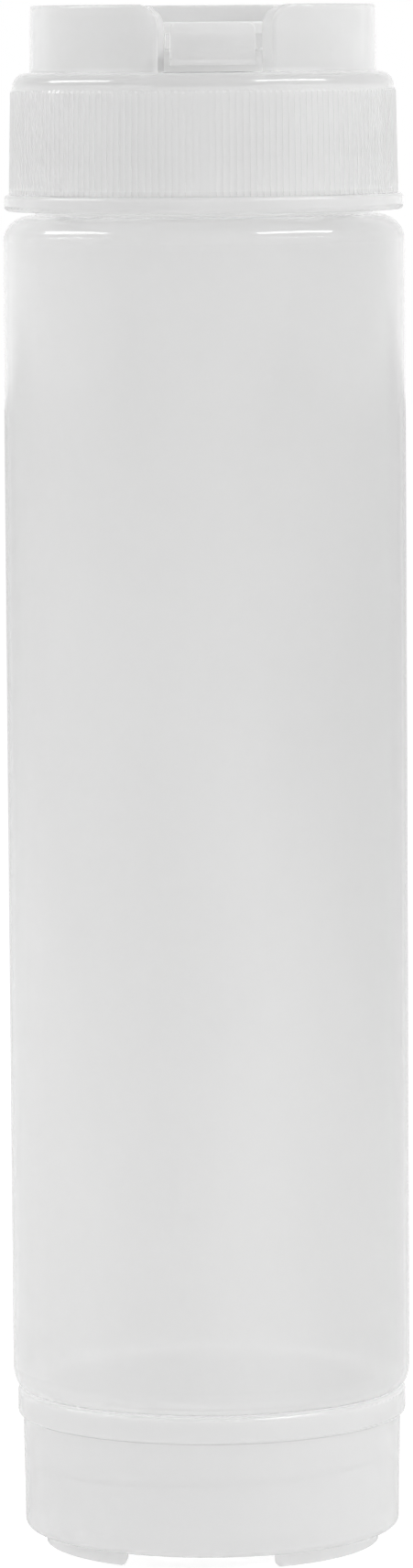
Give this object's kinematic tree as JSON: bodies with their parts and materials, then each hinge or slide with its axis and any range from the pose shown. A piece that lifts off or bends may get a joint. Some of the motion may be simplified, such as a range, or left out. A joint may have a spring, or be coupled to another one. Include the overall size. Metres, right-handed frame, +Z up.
{
  "type": "squeeze sauce bottle",
  "caption": "Tall translucent squeeze bottle for sauces, with a flip-lid dispensing cap in a ring wall at the top and a screw-on refill cap that it stands on.",
  "frame": {"origin": "on the ground under the bottle's axis, in the plane of the foot ring", "axes": "+Z up the bottle to the dispensing cap, -Y towards the thumb gap of the flip lid, +Y towards its hinge"},
  "size_m": [0.07, 0.07, 0.27],
  "materials": {
    "bottle_plastic": "natural translucent polyethylene, smooth and softly glossy",
    "cap_plastic": "natural translucent polypropylene, smooth moulded",
    "lid_plastic": "natural translucent polypropylene, thin and glossy",
    "seal_silicone": "milky silicone, matt",
    "valve_silicone": "clear milky silicone, matt"
  },
  "bodies": {
    "bottle": {"bottle_body": "bottle_plastic"},
    "dispensing_seal": {"dispensing_seal": "seal_silicone"},
    "dispensing_cap": {"dispensing_cap": "cap_plastic", "slit_valve": "valve_silicone", "valve_retainer": "cap_plastic", "living_hinge": "lid_plastic"},
    "flip_lid": {"flip_lid": "lid_plastic"},
    "refill_seal": {"refill_seal": "seal_silicone"},
    "refill_cap": {"refill_cap": "cap_plastic"}
  },
  "joints": [
    {"name": "dispensing_cap_lift", "type": "slide", "parent": "bottle", "child": "dispensing_seal", "axis": [0, 0, 1], "range_m": [0, 0.0063]},
    {"name": "dispensing_cap_turn", "type": "hinge", "parent": "dispensing_seal", "child": "dispensing_cap", "pos_m": [0, 0, 0.245], "axis": [0, 0, 1], "range_deg": [0, 450]},
    {"name": "lid_hinge", "type": "hinge", "parent": "dispensing_cap", "child": "flip_lid", "pos_m": [0, 0.03215, 0.25715], "axis": [-1, 0, 0], "range_deg": [0, 180], "deforming": ["living_hinge"]},
    {"name": "refill_cap_lift", "type": "slide", "parent": "bottle", "child": "refill_seal", "axis": [0, 0, -1], "range_m": [0, 0.0063]},
    {"name": "refill_cap_turn", "type": "hinge", "parent": "refill_seal", "child": "refill_cap", "pos_m": [0, 0, 0.015], "axis": [0, 0, -1], "range_deg": [0, 450]}
  ],
  "couplings": [
    {"joint": "dispensing_cap_lift", "follows": "dispensing_cap_turn", "m_per_rad": 0.00079577},
    {"joint": "refill_cap_lift", "follows": "refill_cap_turn", "m_per_rad": 0.00079577}
  ]
}
